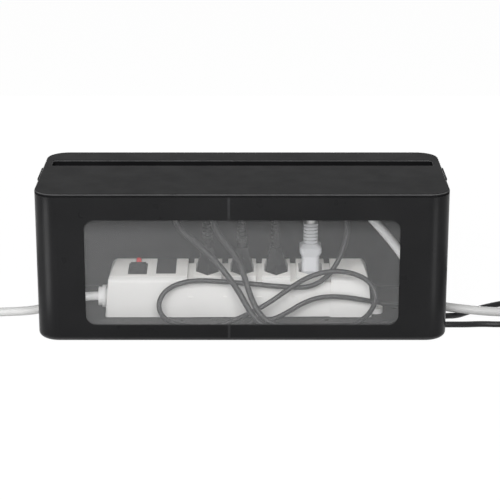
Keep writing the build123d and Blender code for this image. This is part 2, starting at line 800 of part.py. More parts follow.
# Each cord: its name, the face it leaves, points, diameter, its coil's middle, start angle, way round
# and turns, and the height of the middle of its end piece
black_end_height = connector_width / 2 + table_gap
wide_end_height = wide_connector_height / 2 + table_gap
mains_end_height = mains_plug_height / 2 + table_gap
cords = [
    ("cord_1", cord_starts[0], cord_1_points, heavy_diameter, (307, -67.2), 90, -1, 2.5, black_end_height),
    ("cord_2", cord_starts[1], cord_2_points, heavy_diameter, (333, 60), 270, 1, 2.5, black_end_height),
    ("cord_3", cord_starts[2], cord_3_points, black_diameter, (393, 30), 270, 1, 3.0, black_end_height),
    ("cord_4", cord_starts[3], cord_4_points, white_diameter, (394, -57), 90, -1, 2.5, wide_end_height),
    ("mains_lead", lead_start, lead_points, white_diameter, (-350, 36), 270, -1, 4.5, mains_end_height),
]


def bend_radii(points):
    """A radius for each inner point of a run: a share of the shorter side, the first side counted twice."""
    radii = []
    for i in range(1, len(points) - 1):
        before = points[i] - points[i - 1]
        after = points[i + 1] - points[i]
        turn = radians(before.get_angle(after))
        side = min(2 * before.length if i == 1 else before.length, after.length)
        radii.append(bend_share * side / tan(turn / 2))
    return radii


def coil_place(middle, angle, way, turns, diameter, turn):
    """A coil's point and heading after some turns: in on the lower layer, up, then out on the upper one."""
    layer = diameter + layer_gap
    from_half = turn - turns / 2
    climb = min(max(2 * from_half + 1 / 2, 0), 1)
    radius = coil_radius_share * diameter + layer * abs(from_half)
    at_end = turn in (0, turns)
    growth = 0 if at_end or from_half == 0 else layer * (1 if from_half > 0 else -1)
    a = radians(angle) + way * 2 * pi * turn
    point = Vector(
        middle[0] + radius * cos(a),
        middle[1] + radius * sin(a),
        coil_lift + diameter / 2 + layer * climb**2 * (3 - 2 * climb),
    )
    heading = Vector(
        growth * cos(a) - radius * way * 2 * pi * sin(a),
        growth * sin(a) + radius * way * 2 * pi * cos(a),
        layer * 12 * climb * (1 - climb),
    )
    return point, heading.normalized()


def two_arcs(start, start_way, end, end_way):
    """Where two arcs that join a start and an end meet, and their shared heading there."""
    span = end - start
    ways = start_way + end_way
    a = 2 * (1 - start_way.dot(end_way))
    b = span.dot(ways)
    square = span.dot(span)
    flat = a * square < b * b / 10**6
    reach = square / (2 * b) if flat else (sqrt(b * b + a * square) - b) / a
    meeting = (start + end + (start_way - end_way) * reach) * (1 / 2)
    return meeting, (span - ways * reach).normalized()


cord_ends = {}
for name, start, points, diameter, middle, angle, way, turns, end_height in cords:
    places = [coil_place(middle, angle, way, turns, diameter, k / 4) for k in range(round(4 * turns) + 1)]
    coil_start, coil_way = places[0]
    coil_end, end_way = places[-1]
    mouth = coil_start - coil_way * diameter
    first = start.origin + start.z_dir * lead_out
    approach = mouth - coil_way * lead_in
    run = [start.origin, first] + [Vector(*point) for point in points] + [approach, mouth]
    last = Vector(*coil_end) + end_way * end_tail
    tail_end = Vector(last.X, last.Y, end_height)
    cord_ends[name] = (tail_end + end_way * diameter, end_way)
    radii = bend_radii(run)
    with BuildPart() as tube:
        with BuildLine() as tube_line:
            FilletPolyline(*run, radius=radii)
        with BuildSketch(tube_line.line ^ 0):
            Circle(diameter / 2)
        sweep()
    finish(name, tube)
    with BuildPart() as coil:
        with BuildLine() as coil_line:
            Line(mouth, coil_start)
            for (here, here_way), (there, there_way) in zip(places, places[1:] + [(tail_end, end_way)]):
                meeting, meeting_way = two_arcs(here, here_way, there, there_way)
                TangentArc(here, meeting, tangent=here_way)
                TangentArc(meeting, there, tangent=meeting_way)
            Line(tail_end, tail_end + end_way * diameter)
        with BuildSketch(coil_line.line ^ 0):
            Circle(diameter / 2)
        sweep()
    finish(f"{name}_coil", coil)
    layer = diameter + layer_gap
    rounds = int(turns / 2 - 1 / 2)
    a = radians(angle) + way * 2 * pi * (turns / 2 + 1 / 2)
    strap_width = rounds * layer + diameter + 2 * tie_gap
    strap_height = layer + diameter + coil_lift - tie_thickness + tie_gap
    radius = coil_radius_share * diameter + layer * (rounds + 1) / 2
    tie_plane = Plane(
        origin=(
            middle[0] + radius * cos(a),
            middle[1] + radius * sin(a),
            tie_thickness + strap_height / 2,
        ),
        x_dir=(cos(a), sin(a), 0),
        z_dir=(-sin(a), cos(a), 0),
    )
    with BuildPart() as tie:
        with BuildSketch(tie_plane):
            RectangleRounded(
                strap_width + 2 * tie_thickness,
                strap_height + 2 * tie_thickness,
                tie_corner + tie_thickness,
            )
            RectangleRounded(strap_width, strap_height, tie_corner, mode=Mode.SUBTRACT)
        extrude(amount=tie_width / 2, both=True)
    finish(f"{name}_tie", tie)
    section = pi * diameter**2 / 4
    traced = [
        coil_place(middle, angle, way, turns, diameter, k / gap_steps)[0]
        for k in range(round(gap_steps * turns) + 1)
    ]
    nearest = min(
        (one - other).length for i, one in enumerate(traced) for other in traced[i + gap_steps // 2 :]
    )
    print(
        name,
        "tube volume share", round(tube.part.volume / section / sum(e.length for e in tube_line.edges()), 4),
        "coil volume share", round(coil.part.volume / section / sum(e.length for e in coil_line.edges()), 4),
        "length", round((tube.part.volume + coil.part.volume) / section),
        "least bend", round(min(radii), 1),
        "least gap in the coil", round(nearest - diameter, 2),
    )

# What is on the cords' far ends
for name in ("cord_1", "cord_2", "cord_3"):
    point, way = cord_ends[name]
    end_plane = Plane(origin=point, x_dir=way.cross(Vector(0, 0, 1)), z_dir=way)
    with BuildPart() as connector:
        with BuildSketch(end_plane):
            Circle(connector_relief_radius)
        extrude(amount=connector_relief)
        with BuildSketch(end_plane.offset(connector_relief)):
            RectangleRounded(connector_width, connector_width, connector_corner)
        extrude(amount=connector_length)
        with BuildSketch(end_plane.offset(connector_relief + connector_length)):
            Circle(connector_slot_radius)
        extrude(amount=-connector_slot_depth, mode=Mode.SUBTRACT)
    finish(f"{name}_connector", connector)

point, way = cord_ends["cord_4"]
end_plane = Plane(origin=point, x_dir=way.cross(Vector(0, 0, 1)), z_dir=way)
with BuildPart() as wide_connector:
    with BuildSketch(end_plane):
        Circle(wide_relief_radius)
    extrude(amount=connector_relief)
    with BuildSketch(end_plane.offset(connector_relief)):
        RectangleRounded(wide_connector_width, wide_connector_height, connector_corner)
    extrude(amount=connector_length)
    with BuildSketch(end_plane.offset(connector_relief + connector_length)):
        with GridLocations(0, wide_connector_height / 2, 1, 2):
            Circle(connector_slot_radius)
    extrude(amount=-connector_slot_depth, mode=Mode.SUBTRACT)
finish("cord_4_connector", wide_connector)

point, way = cord_ends["mains_lead"]
end_plane = Plane(origin=point, x_dir=way.cross(Vector(0, 0, 1)), z_dir=way)
with BuildPart() as mains_plug:
    with BuildSketch(end_plane):
        Circle(wide_relief_radius)
    extrude(amount=connector_relief)
    with BuildSketch(end_plane.offset(connector_relief)):
        RectangleRounded(mains_plug_width, mains_plug_height / 2, mains_plug_corner)
    with BuildSketch(end_plane.offset(connector_relief + mains_plug_length / 2)):
        RectangleRounded(mains_plug_width, mains_plug_height, mains_plug_corner)
    loft()
    with BuildSketch(end_plane.offset(connector_relief + mains_plug_length / 2)):
        RectangleRounded(mains_plug_width, mains_plug_height, mains_plug_corner)
    extrude(amount=mains_plug_length / 2)
finish("mains_plug", mains_plug)

with BuildPart() as mains_pins:
    with BuildSketch(end_plane.offset(connector_relief + mains_plug_length)):
        with GridLocations(0, pin_pitch, 1, 2):
            Circle(pin_radius)
    extrude(amount=pin_length)
    fillet(mains_pins.faces().sort_by(Axis(end_plane.origin, way))[-2:].edges(), pin_tip)
finish("mains_plug_pins", mains_pins)
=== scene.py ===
import bpy
import json
from math import cos, pi, radians, sin
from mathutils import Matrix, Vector


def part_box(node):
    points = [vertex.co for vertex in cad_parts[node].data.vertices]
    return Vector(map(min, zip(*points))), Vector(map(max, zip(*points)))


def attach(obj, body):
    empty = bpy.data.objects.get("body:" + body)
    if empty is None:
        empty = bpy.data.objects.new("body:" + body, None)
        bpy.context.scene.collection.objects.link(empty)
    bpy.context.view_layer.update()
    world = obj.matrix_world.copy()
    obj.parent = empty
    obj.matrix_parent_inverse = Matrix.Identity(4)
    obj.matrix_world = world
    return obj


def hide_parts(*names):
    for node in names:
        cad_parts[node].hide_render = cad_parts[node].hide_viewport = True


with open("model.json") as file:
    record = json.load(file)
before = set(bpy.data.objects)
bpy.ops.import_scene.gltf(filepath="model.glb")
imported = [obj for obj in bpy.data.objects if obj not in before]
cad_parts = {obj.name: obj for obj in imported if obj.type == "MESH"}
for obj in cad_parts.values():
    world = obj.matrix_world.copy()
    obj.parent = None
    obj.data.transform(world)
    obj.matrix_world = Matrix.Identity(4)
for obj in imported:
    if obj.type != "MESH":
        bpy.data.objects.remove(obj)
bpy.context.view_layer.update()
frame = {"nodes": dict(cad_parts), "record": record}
nodes = frame["nodes"]
tub_low, tub_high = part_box("base_tub")
pane_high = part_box("window_pane")[1]
MM = 0.001


def link(piece):
    """Puts a new object in the scene and gives it back."""
    bpy.context.scene.collection.objects.link(piece)
    return piece


# Shader parts, in the object's own metres

NOISE_LOW = 0.3
NOISE_HIGH = 0.7
BUMP_STRENGTH = 0.35


def new_material(name):
    """An empty node material, with its node tree and its output."""
    material = bpy.data.materials.new(name)
    material.use_nodes = True
    tree = material.node_tree
    tree.nodes.clear()
    output = tree.nodes.new("ShaderNodeOutputMaterial")
    return material, tree, output


def noise(tree, scale, detail):
    """A noise texture."""
    place = tree.nodes.new("ShaderNodeTexCoord")
    texture = tree.nodes.new("ShaderNodeTexNoise")
    texture.inputs["Scale"].default_value = scale
    texture.inputs["Detail"].default_value = detail
    tree.links.new(place.outputs["Object"], texture.inputs["Vector"])
    return texture.outputs["Fac"]


def worked_out(tree, operation, *terms):
    """A number worked out from sockets and constants."""
    node = tree.nodes.new("ShaderNodeMath")
    node.operation = operation
    for term, socket in zip(terms, node.inputs):
        if isinstance(term, bpy.types.NodeSocket):
            tree.links.new(term, socket)
        else:
            socket.default_value = term
    return node.outputs["Value"]


def mapped(tree, value, start, end, low=0.0, high=1.0):
    """A number that goes from low to high while a value goes from start to end."""
    node = tree.nodes.new("ShaderNodeMapRange")
    node.inputs["From Min"].default_value = start
    node.inputs["From Max"].default_value = end
    node.inputs["To Min"].default_value = low
    node.inputs["To Max"].default_value = high
    tree.links.new(value, node.inputs["Value"])
    return node.outputs["Result"]


def spread(tree, value, low, high):
    """Noise, spread from its usual values to a range of numbers."""
    return mapped(tree, value, NOISE_LOW, NOISE_HIGH, low, high)


def patchy(tree, share, scale, detail, least):
    """A share made uneven by noise, which leaves at least a part of it."""
    return worked_out(tree, "MULTIPLY", share, spread(tree, noise(tree, scale, detail), least, 1.0))


def ramp(tree, value, first, last, *between):
    """A value as a colour, along stops that have a position and a colour each."""
    node = tree.nodes.new("ShaderNodeValToRGB")
    stops = node.color_ramp.elements
    for stop, (position, colour) in zip(stops, (first, last)):
        stop.position = position
        stop.color = (*colour, 1)
    for position, colour in between:
        stops.new(position).color = (*colour, 1)
    tree.links.new(value, node.inputs["Fac"])
    return node.outputs["Color"]


def tones(tree, value, dark, light):
    """Noise as a colour between two close tones."""
    return ramp(tree, value, (NOISE_LOW, dark), (NOISE_HIGH, light))


def turned(tree, colour, tone, share):
    """A colour turned towards another tone by a share."""
    mix = tree.nodes.new("ShaderNodeMix")
    mix.data_type = "RGBA"
    mix.inputs["B"].default_value = (*tone, 1)
    tree.links.new(share, mix.inputs["Factor"])
    tree.links.new(colour, mix.inputs["A"])
    return mix.outputs["Result"]


def bumped(tree, value, distance):
    """Noise as small bumps."""
    bump = tree.nodes.new("ShaderNodeBump")
    bump.inputs["Distance"].default_value = distance
    bump.inputs["Strength"].default_value = BUMP_STRENGTH
    tree.links.new(value, bump.inputs["Height"])
    return bump.outputs["Normal"]


def axes(tree, vector):
    """A vector's X, Y and Z."""
    node = tree.nodes.new("ShaderNodeSeparateXYZ")
    tree.links.new(vector, node.inputs["Vector"])
    return node.outputs["X"], node.outputs["Y"], node.outputs["Z"]


def place_axes(tree):
    """X, Y and Z of the place on the object."""
    return axes(tree, tree.nodes.new("ShaderNodeTexCoord").outputs["Object"])


def upward(tree):
    """How far the surface faces up: 1 where it is level, 0 where it is upright."""
    return axes(tree, tree.nodes.new("ShaderNodeNewGeometry").outputs["Normal"])[2]


def mixed_shaders(tree, share, first, second):
    """Two shaders, the second by a share."""
    mix = tree.nodes.new("ShaderNodeMixShader")
    tree.links.new(share, mix.inputs["Fac"])
    tree.links.new(first, mix.inputs[1])
    tree.links.new(second, mix.inputs[2])
    return mix.outputs["Shader"]


# Marks on a surface

# Edge wear with its painted edge highlight and shade, and the painted light on top faces, go by how far the
# surface faces up
NO_EDGE_TONE = (0, 0, 0)
FULL_EDGE_TONE = (1, 1, 1)
EDGE_TONE_START = 0.08
EDGE_TONE_MOST = 0.6
EDGE_TONE_END = 0.98
TOP_LIGHT_START = 0.85
TOP_LIGHT_FULL = 0.98
# The flow line's place along the front, and a depth within the front wall
LINE_PLACE = -0.0127
LINE_HALF_WIDTH = 0.0012
FRONT_DEPTH = 0.0015
FRONT_LIMIT = tub_low[1] + FRONT_DEPTH
# A cord changes tone from just inside the tub's ends to just outside them, as painted shade beyond the box
# and painted light within it
INSIDE_END = 0.015
PAST_END = 0.005
OUTSIDE_START = tub_high[0] - INSIDE_END
OUTSIDE_FULL = tub_high[0] + PAST_END
# Patches: a noise's scale and detail, and the least share that it leaves
EDGE_TONE_PATCHES = (160, 4, 0.75)
LINE_PATCHES = (120, 3, 0.5)
TOP_LIGHT_PATCHES = (30, 3, 0.88)


def edge_wear_and_shading(tree, colour, wear_and_shading):
    """A colour turned to another tone in patches along rounded edges, where the surface leans: wear, with a
    painted highlight on the black plastic's edges and painted shade on the white strip's edges.
    """
    level = worked_out(tree, "ABSOLUTE", upward(tree))
    share = ramp(tree, level, (EDGE_TONE_START, NO_EDGE_TONE), (EDGE_TONE_END, NO_EDGE_TONE), (EDGE_TONE_MOST, FULL_EDGE_TONE))
    return turned(tree, colour, wear_and_shading, patchy(tree, share, *EDGE_TONE_PATCHES))


def flow_line(tree, colour, tone):
    """A faint upright line that the mould left on the front face."""
    along, back, _ = place_axes(tree)
    near = worked_out(tree, "COMPARE", along, LINE_PLACE, LINE_HALF_WIDTH)
    front = worked_out(tree, "LESS_THAN", back, FRONT_LIMIT)
    share = worked_out(tree, "MULTIPLY", near, front)
    return turned(tree, colour, tone, patchy(tree, share, *LINE_PATCHES))


def painted_outside_shade(tree, colour, tone):
    """A cord's colour that turns darker where the cord leaves the box at either end: painted light within the
    box, painted shade beyond its ends.
    """
    away = worked_out(tree, "ABSOLUTE", place_axes(tree)[0])
    return turned(tree, colour, tone, mapped(tree, away, OUTSIDE_START, OUTSIDE_FULL))


def painted_top_light(tree, colour, tone):
    """A colour painted lighter where the surface faces up: painted light on top faces."""
    share = mapped(tree, upward(tree), TOP_LIGHT_START, TOP_LIGHT_FULL)
    return turned(tree, colour, tone, patchy(tree, share, *TOP_LIGHT_PATCHES))


# Materials

TONE_SCALE = 14
TONE_DETAIL = 3
GLOSS_SCALE = 42
FINE_DETAIL = 2


def moulded(
    name, dark, light, rough, grain, depth, specular=0.5, metallic=0.0,
    wear_and_shading=None, line=None, outside_shade=None, top_light_tone=None,
):
    """A moulded or drawn surface: two close tones, a grain of its own scale, and uneven gloss."""
    material, tree, output = new_material(name)
    shader = tree.nodes.new("ShaderNodeBsdfPrincipled")
    colour = tones(tree, noise(tree, TONE_SCALE, TONE_DETAIL), dark, light)
    # Wear on rounded edges, together with painted edge highlight and painted edge shade
    if wear_and_shading:
        colour = edge_wear_and_shading(tree, colour, wear_and_shading)
    if line:
        colour = flow_line(tree, colour, line)
    # Painted shade on a cord beyond the tub's ends
    if outside_shade:
        colour = painted_outside_shade(tree, colour, outside_shade)
    # Painted light on faces that look up
    if top_light_tone:
        colour = painted_top_light(tree, colour, top_light_tone)
    roughness = spread(tree, noise(tree, GLOSS_SCALE, FINE_DETAIL), *rough)
    bumps = bumped(tree, noise(tree, grain, FINE_DETAIL), depth)
    tree.links.new(colour, shader.inputs["Base Color"])
    tree.links.new(roughness, shader.inputs["Roughness"])
    tree.links.new(bumps, shader.inputs["Normal"])
    shader.inputs["Metallic"].default_value = metallic
    shader.inputs["Specular IOR Level"].default_value = specular
    tree.links.new(shader.outputs["BSDF"], output.inputs["Surface"])
    return material


ABS = dict(dark=(0.0062, 0.0062, 0.0066), light=(0.0084, 0.0084, 0.0088), grain=1900, depth=0.00002)
WHITE_VINYL = dict(rough=(0.42, 0.54), grain=700, depth=0.00008, specular=0.3)
METAL = dict(depth=0.00003, metallic=1.0)
# Tub: its edge tone is wear with a painted highlight, and its top-face tone is painted light on the floor
# inside
tub_abs = moulded(
    "tub_abs", **ABS, rough=(0.27, 0.33), specular=0.085,
    wear_and_shading=(0.045, 0.045, 0.046), line=(0.022, 0.022, 0.023), top_light_tone=(0.03, 0.03, 0.03),
)
# Lid: its edge tone is wear with a painted highlight along the front edge, and its top-face tone is painted
# light
lid_abs = moulded(
    "lid_abs", **ABS, rough=(0.3, 0.38), specular=0.0075,
    wear_and_shading=(0.085, 0.085, 0.086), top_light_tone=(0.0128, 0.0128, 0.0133),
)
foot_rubber = moulded(
    "foot_rubber", dark=(0.015, 0.015, 0.015), light=(0.024, 0.024, 0.024),
    rough=(0.7, 0.85), grain=900, depth=0.0001, specular=0.3,
)
# Strip: its edge tone is painted shade along the rounded edges, and its top-face tone is painted light on the
# roof
strip_white = moulded(
    "strip_white", dark=(0.6, 0.595, 0.585), light=(0.64, 0.635, 0.626),
    rough=(0.44, 0.54), grain=1400, depth=0.00006, specular=0.12,
    wear_and_shading=(0.54, 0.535, 0.525), top_light_tone=(0.9, 0.885, 0.855),
)
socket_black = moulded(
    "socket_black", dark=(0.016, 0.016, 0.016), light=(0.024, 0.024, 0.024),
    rough=(0.5, 0.6), grain=1200, depth=0.00008,
)
dark_plastic = moulded(
    "dark_plastic", dark=(0.024, 0.024, 0.025), light=(0.032, 0.032, 0.034),
    rough=(0.28, 0.38), grain=1300, depth=0.00006, wear_and_shading=(0.05, 0.05, 0.052),
)
button_red = moulded(
    "button_red", dark=(0.5, 0.012, 0.015), light=(0.58, 0.02, 0.024),
    rough=(0.18, 0.26), grain=900, depth=0.00004,
)
white_vinyl = moulded("white_vinyl", **WHITE_VINYL, dark=(0.44, 0.445, 0.46), light=(0.48, 0.485, 0.5))
# White cord: painted lighter inside the box, with painted shade beyond its ends
cord_white = moulded(
    "cord_white", **WHITE_VINYL, dark=(0.72, 0.72, 0.72), light=(0.76, 0.76, 0.76),
    outside_shade=(0.38, 0.38, 0.376),
)
# Painted light: the gland's white vinyl is a lighter copy of the white vinyl, lit where the window's jamb
# shades it
gland_white_painted_lit = moulded("gland_white_painted_lit", **WHITE_VINYL, dark=(0.78, 0.78, 0.775), light=(0.82, 0.82, 0.815))
# Black cord: painted lighter inside the box, with painted shade beyond its ends
black_vinyl = moulded(
    "black_vinyl", dark=(0.016, 0.016, 0.017), light=(0.024, 0.024, 0.025),
    rough=(0.32, 0.42), grain=800, depth=0.00006, specular=0.2, outside_shade=(0.008, 0.008, 0.0085),
)
plug_black = moulded(
    "plug_black", dark=(0.009, 0.009, 0.0095), light=(0.013, 0.013, 0.0135),
    rough=(0.24, 0.3), grain=800, depth=0.00002, specular=0.25,
)
tie_black = moulded(
    "tie_black", dark=(0.016, 0.016, 0.016), light=(0.026, 0.026, 0.026),
    rough=(0.45, 0.6), grain=1500, depth=0.00008,
)
brass = moulded(
    "brass", **METAL, dark=(0.62, 0.44, 0.17), light=(0.74, 0.55, 0.25), rough=(0.25, 0.38), grain=600,
)
screw_steel = moulded(
    "screw_steel", **METAL, dark=(0.46, 0.46, 0.47), light=(0.58, 0.58, 0.59), rough=(0.25, 0.36), grain=900,
)
pin_metal = moulded(
    "pin_metal", **METAL, dark=(0.6, 0.59, 0.56), light=(0.72, 0.71, 0.68), rough=(0.18, 0.28), grain=900,
)

HAZE_DARK = (0.58, 0.585, 0.59)
HAZE_LIGHT = (0.63, 0.635, 0.64)
HAZE_SCALE = 9
PANE_GLOSS_SCALE = 22
PANE_ROUGH = (0.1, 0.16)
PANE_SPECULAR = 0.3
# The haze's cover at the top and below it, thinner at the top as painted shade under the window's top edge;
# the pane reaches up behind the tub's front
PANE_LAP = 0.0058
HAZE_TOP = pane_high[2] - PANE_LAP
TOP_SHADE_FADE = 0.014
TOP_SHADE_COVER = 0.032
LOWER_COVER = 0.06
# The share of that cover which is left to the right, a thinner haze there as painted shade
RIGHT_SHADE_FROM = -0.02
RIGHT_SHADE_FULL = 0.11
RIGHT_SHADE_SHARE = 0.84


def milky_pane():
    """Clear plastic with a faint haze, made thinner along its top and towards the right as painted shade."""
    material, tree, output = new_material("milky_pane")
    shader = tree.nodes.new("ShaderNodeBsdfPrincipled")
    haze = tones(tree, noise(tree, HAZE_SCALE, FINE_DETAIL), HAZE_DARK, HAZE_LIGHT)
    roughness = spread(tree, noise(tree, PANE_GLOSS_SCALE, FINE_DETAIL), *PANE_ROUGH)
    along, _, up = place_axes(tree)
    # Painted shade: less haze at the top and towards the right lets the dark inside show
    shaded_cover = mapped(tree, up, HAZE_TOP, HAZE_TOP - TOP_SHADE_FADE, TOP_SHADE_COVER, LOWER_COVER)
    right_shade = mapped(tree, along, RIGHT_SHADE_FROM, RIGHT_SHADE_FULL, 1.0, RIGHT_SHADE_SHARE)
    tree.links.new(haze, shader.inputs["Base Color"])
    tree.links.new(roughness, shader.inputs["Roughness"])
    tree.links.new(worked_out(tree, "MULTIPLY", shaded_cover, right_shade), shader.inputs["Alpha"])
    shader.inputs["Specular IOR Level"].default_value = PANE_SPECULAR
    tree.links.new(shader.outputs["BSDF"], output.inputs["Surface"])
    return material


# The look of each slot, and of the nodes that differ from their slot
slot_finishes = {
    "black_abs": tub_abs,
    "milky_pane": milky_pane(),
    "foot_rubber": foot_rubber,
    "strip_white": strip_white,
    "socket_black": socket_black,
    "dark_plastic": dark_plastic,
    "button_red": button_red,
    "white_vinyl": white_vinyl,
    "black_vinyl": black_vinyl,
    "tie_black": tie_black,
    "brass": brass,
    "screw_steel": screw_steel,
    "pin_metal": pin_metal,
}
node_finishes = {
    "lid": lid_abs,
    "strip_gland": gland_white_painted_lit,
    "plug_1": plug_black,
    "plug_2": plug_black,
    "plug_3": plug_black,
}
for entry in frame["record"]["subparts"]:
    name = entry["node"]
    materials = nodes[name].data.materials
    materials.clear()
    materials.append(node_finishes.get(name, slot_finishes[entry["material_slot"]]))


# Cords: the same places as the solids, in millimetres, as control points of one smooth line each

# Diameters
THIN_CORD = 5.0
BLACK_CORD = 6.0
WHITE_CORD = 9.0
# Where the cords leave the plugs, which stand square to the strip's sloped roof, and the gland
FIRST_PLUG = -35.0
PLUG_PITCH = 34.5
BLACK_RELIEF = (1.43, 101.02)
WHITE_RELIEF = (1.72, 97.74)
GLAND_END = (-146.0, 5.0, 18.5)
ROOF_SLOPE = radians(5)
PLUG_WAY = Vector((0, -sin(ROOF_SLOPE), cos(ROOF_SLOPE)))
LEAD_WAY = Vector((-1, 0, 0))
LEAD_OUT = 12.0
# The coils, and the heights at which their ends meet the connectors and the mains plug
COIL_LIFT = 1.3
LAYER_GAP = 0.55
COIL_RADIUS_SHARE = 3.8
TURN_POINTS = 16
LEAD_IN = 20.0
END_TAIL = 18.0
BLACK_END = 5.6
WHITE_END = 11.3
MAINS_END = 17.3
# How finely a line is drawn
ROUND_STEPS = 5
LINE_STEPS = 6
LINE_ORDER = 3


def plug_end(number, relief):
    """Where a cord leaves its plug, counted from 0 at the left."""
    return (FIRST_PLUG + PLUG_PITCH * number, *relief)


def coil_points(diameter, middle, angle, way, turns, end_height):
    """A coil's control points, in on the lower layer and out on the upper one, with its straight ends."""
    layer = diameter + LAYER_GAP
    start = radians(angle)
    end = start + way * 2 * pi * turns
    points = []
    for step in range(round(TURN_POINTS * turns) + 1):
        turn = step / TURN_POINTS
        from_half = turn - turns / 2
        # The cord climbs smoothly to the upper layer over the middle half turn
        climb = min(max(2 * from_half + 0.5, 0), 1)
        height = COIL_LIFT + diameter / 2 + layer * climb**2 * (3 - 2 * climb)
        radius = COIL_RADIUS_SHARE * diameter + layer * abs(from_half)
        bearing = start + way * 2 * pi * turn
        x = middle[0] + radius * cos(bearing)
        y = middle[1] + radius * sin(bearing)
        points.append(Vector((x, y, height)))
    start_way = Vector((-way * sin(start), way * cos(start), 0))
    end_way = Vector((-way * sin(end), way * cos(end), 0))
    mouth = points[0] - start_way * diameter
    tail = points[-1] + end_way * END_TAIL
    tail.z = end_height
    before_tail = points[-1] + end_way * END_TAIL / 3
    near_tail = tail - end_way * END_TAIL / 3
    way_in = [mouth - start_way * LEAD_IN, mouth]
    way_out = [before_tail, near_tail, tail, tail + end_way * diameter]
    return way_in + points + way_out


def cord(name, material, start, way, route, diameter, coil):
    """One cord from its plug or gland to its connector, in place of its solids."""
    first = Vector(start)
    places = [first, first + way * LEAD_OUT]
    places += [Vector(point) for point in route]
    places += coil_points(diameter, **coil)
    curve = bpy.data.curves.new(name, "CURVE")
    curve.dimensions = "3D"
    curve.bevel_depth = diameter / 2 * MM
    curve.bevel_resolution = ROUND_STEPS
    curve.resolution_u = LINE_STEPS
    curve.use_fill_caps = True
    spline = curve.splines.new("NURBS")
    spline.points.add(len(places) - 1)
    for point, place in zip(spline.points, places):
        point.co = (*(place * MM), 1)
    spline.order_u = LINE_ORDER
    spline.use_endpoint_u = True
    curve.materials.append(material)
    piece = link(bpy.data.objects.new(f"{name}_line", curve))
    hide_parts(name, f"{name}_coil")
    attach(piece, "base")


CORD_1 = [
    (-40.2, -5, 129.8), (-51.3, -16, 136.2), (-62.3, -27, 129.3), (-66.8, -31.5, 113.8),
    (-61.5, -30, 98.9), (-47, -28.2, 86.6), (-30, -29, 70.6), (-14.8, -34.8, 53.8), (-2.9, -44.5, 39.3),
    (8, -55.2, 21.6), (18.4, -61.6, 11.2), (32, -64.8, 7.7), (52, -65.6, 7.4), (80, -64, 7.3),
    (108, -61.6, 7.3), (138, -58, 7.3), (166, -53, 7.5), (187, -51.4, 7.9), (205, -49, 7.3),
    (222, -41.6, 4.5), (239, -36.6, 3.4), (258, -38.6, 3.4),
]
CORD_2 = [
    (-5.3, -5.4, 129.8), (-15.6, -17.6, 136.2), (-25.7, -29.3, 129.3), (-29.8, -33.8, 113.8),
    (-26, -32.5, 98.6), (-15, -30.5, 84), (-3.9, -31, 68.3), (1.6, -34.2, 53.9), (5.8, -39.5, 41),
    (10.3, -45.5, 29.8), (16.5, -50.8, 19.3), (25.6, -54.3, 11.5), (39, -55.6, 7.9), (62, -54.5, 7.3),
    (90, -53.4, 7.3), (118, -50.5, 7.3), (148, -43.5, 7.3), (172, -36, 7.4), (190, -30.5, 8),
    (204, -24, 7.5), (216.5, -12.5, 3.4), (230, 0.5, 3.3), (246, 13, 3.3), (265, 25, 3.3),
    (286, 30.2, 3.4),
]
CORD_3 = [
    (43, -2.5, 127), (58, -5, 134), (76, -7, 133), (92, -9, 124.5),
    (102.5, -11, 110), (105, -13, 94), (102, -16, 79.5), (95, -22, 63), (84, -27.5, 48.5),
    (66.5, -28, 38.6), (44, -28, 39.2), (8, -27, 42.4), (-16, -27.2, 44.5), (-45, -28, 46.5),
    (-64, -29, 43.5), (-78.5, -31.5, 35.5), (-84.5, -38.5, 22.5), (-77.5, -47, 11.5), (-61, -52.5, 7.6),
    (-44, -55.5, 6.9), (-25, -55.5, 7.2), (-7, -51, 12.8), (12, -43.4, 19.3), (29, -39, 28),
    (47.7, -35.5, 41.2), (66, -34, 52.5), (88.1, -34, 58.6), (110, -35, 56.5), (126.5, -37.5, 48.5),
    (133.5, -43, 34.5), (127, -53, 21), (113, -64, 14), (97, -71, 9), (76, -71.8, 6.8),
    (44, -73.4, 6.8), (16.1, -73.7, 6.8), (6.3, -63.9, 6.8), (6.3, -50.1, 6.8), (16.1, -40.3, 6.8),
    (31, -38.2, 8.6), (46, -35, 15.5), (60, -31, 23.5), (79, -28.2, 29.5), (103, -28, 29),
    (128, -27.3, 24), (150, -17, 17.5), (170, -5.5, 11.5), (187, 0.4, 7.8), (203, 1, 7.6),
    (219, -3, 9.6), (234, -5, 9.2), (250, -0.8, 4.7), (270, 3.4, 2.9), (302, 4.4, 3.1),
    (336, -0.4, 3.3),
]
CORD_4 = [
    (84.6, 2.6, 125.3), (107.3, 5.5, 125.3), (127, 7.5, 103.5), (145, 8, 83),
    (161, 5.5, 63), (176.5, 0, 39.5), (193, -8.9, 13.4), (220, -17.2, 12.5), (246, -17.2, 9.7),
    (272, -15.6, 8), (304, -14.2, 6.8), (336, -12, 6.2),
]
LEAD = [
    (-173, 3.2, 15.8), (-190, -3.2, 11.9), (-208, -7, 7.8), (-226, -4.6, 5.3), (-247, -4.8, 4.8),
    (-284, -13, 5.1),
]
cord(
    "cord_1", black_vinyl, start=plug_end(0, BLACK_RELIEF), way=PLUG_WAY,
    route=CORD_1, diameter=BLACK_CORD,
    coil=dict(middle=(307, -67.2), angle=90, way=-1, turns=2.5, end_height=BLACK_END),
)
cord(
    "cord_2", black_vinyl, start=plug_end(1, BLACK_RELIEF), way=PLUG_WAY,
    route=CORD_2, diameter=BLACK_CORD,
    coil=dict(middle=(333, 60), angle=270, way=1, turns=2.5, end_height=BLACK_END),
)
cord(
    "cord_3", black_vinyl, start=plug_end(2, BLACK_RELIEF), way=PLUG_WAY,
    route=CORD_3, diameter=THIN_CORD,
    coil=dict(middle=(393, 30), angle=270, way=1, turns=3.0, end_height=BLACK_END),
)
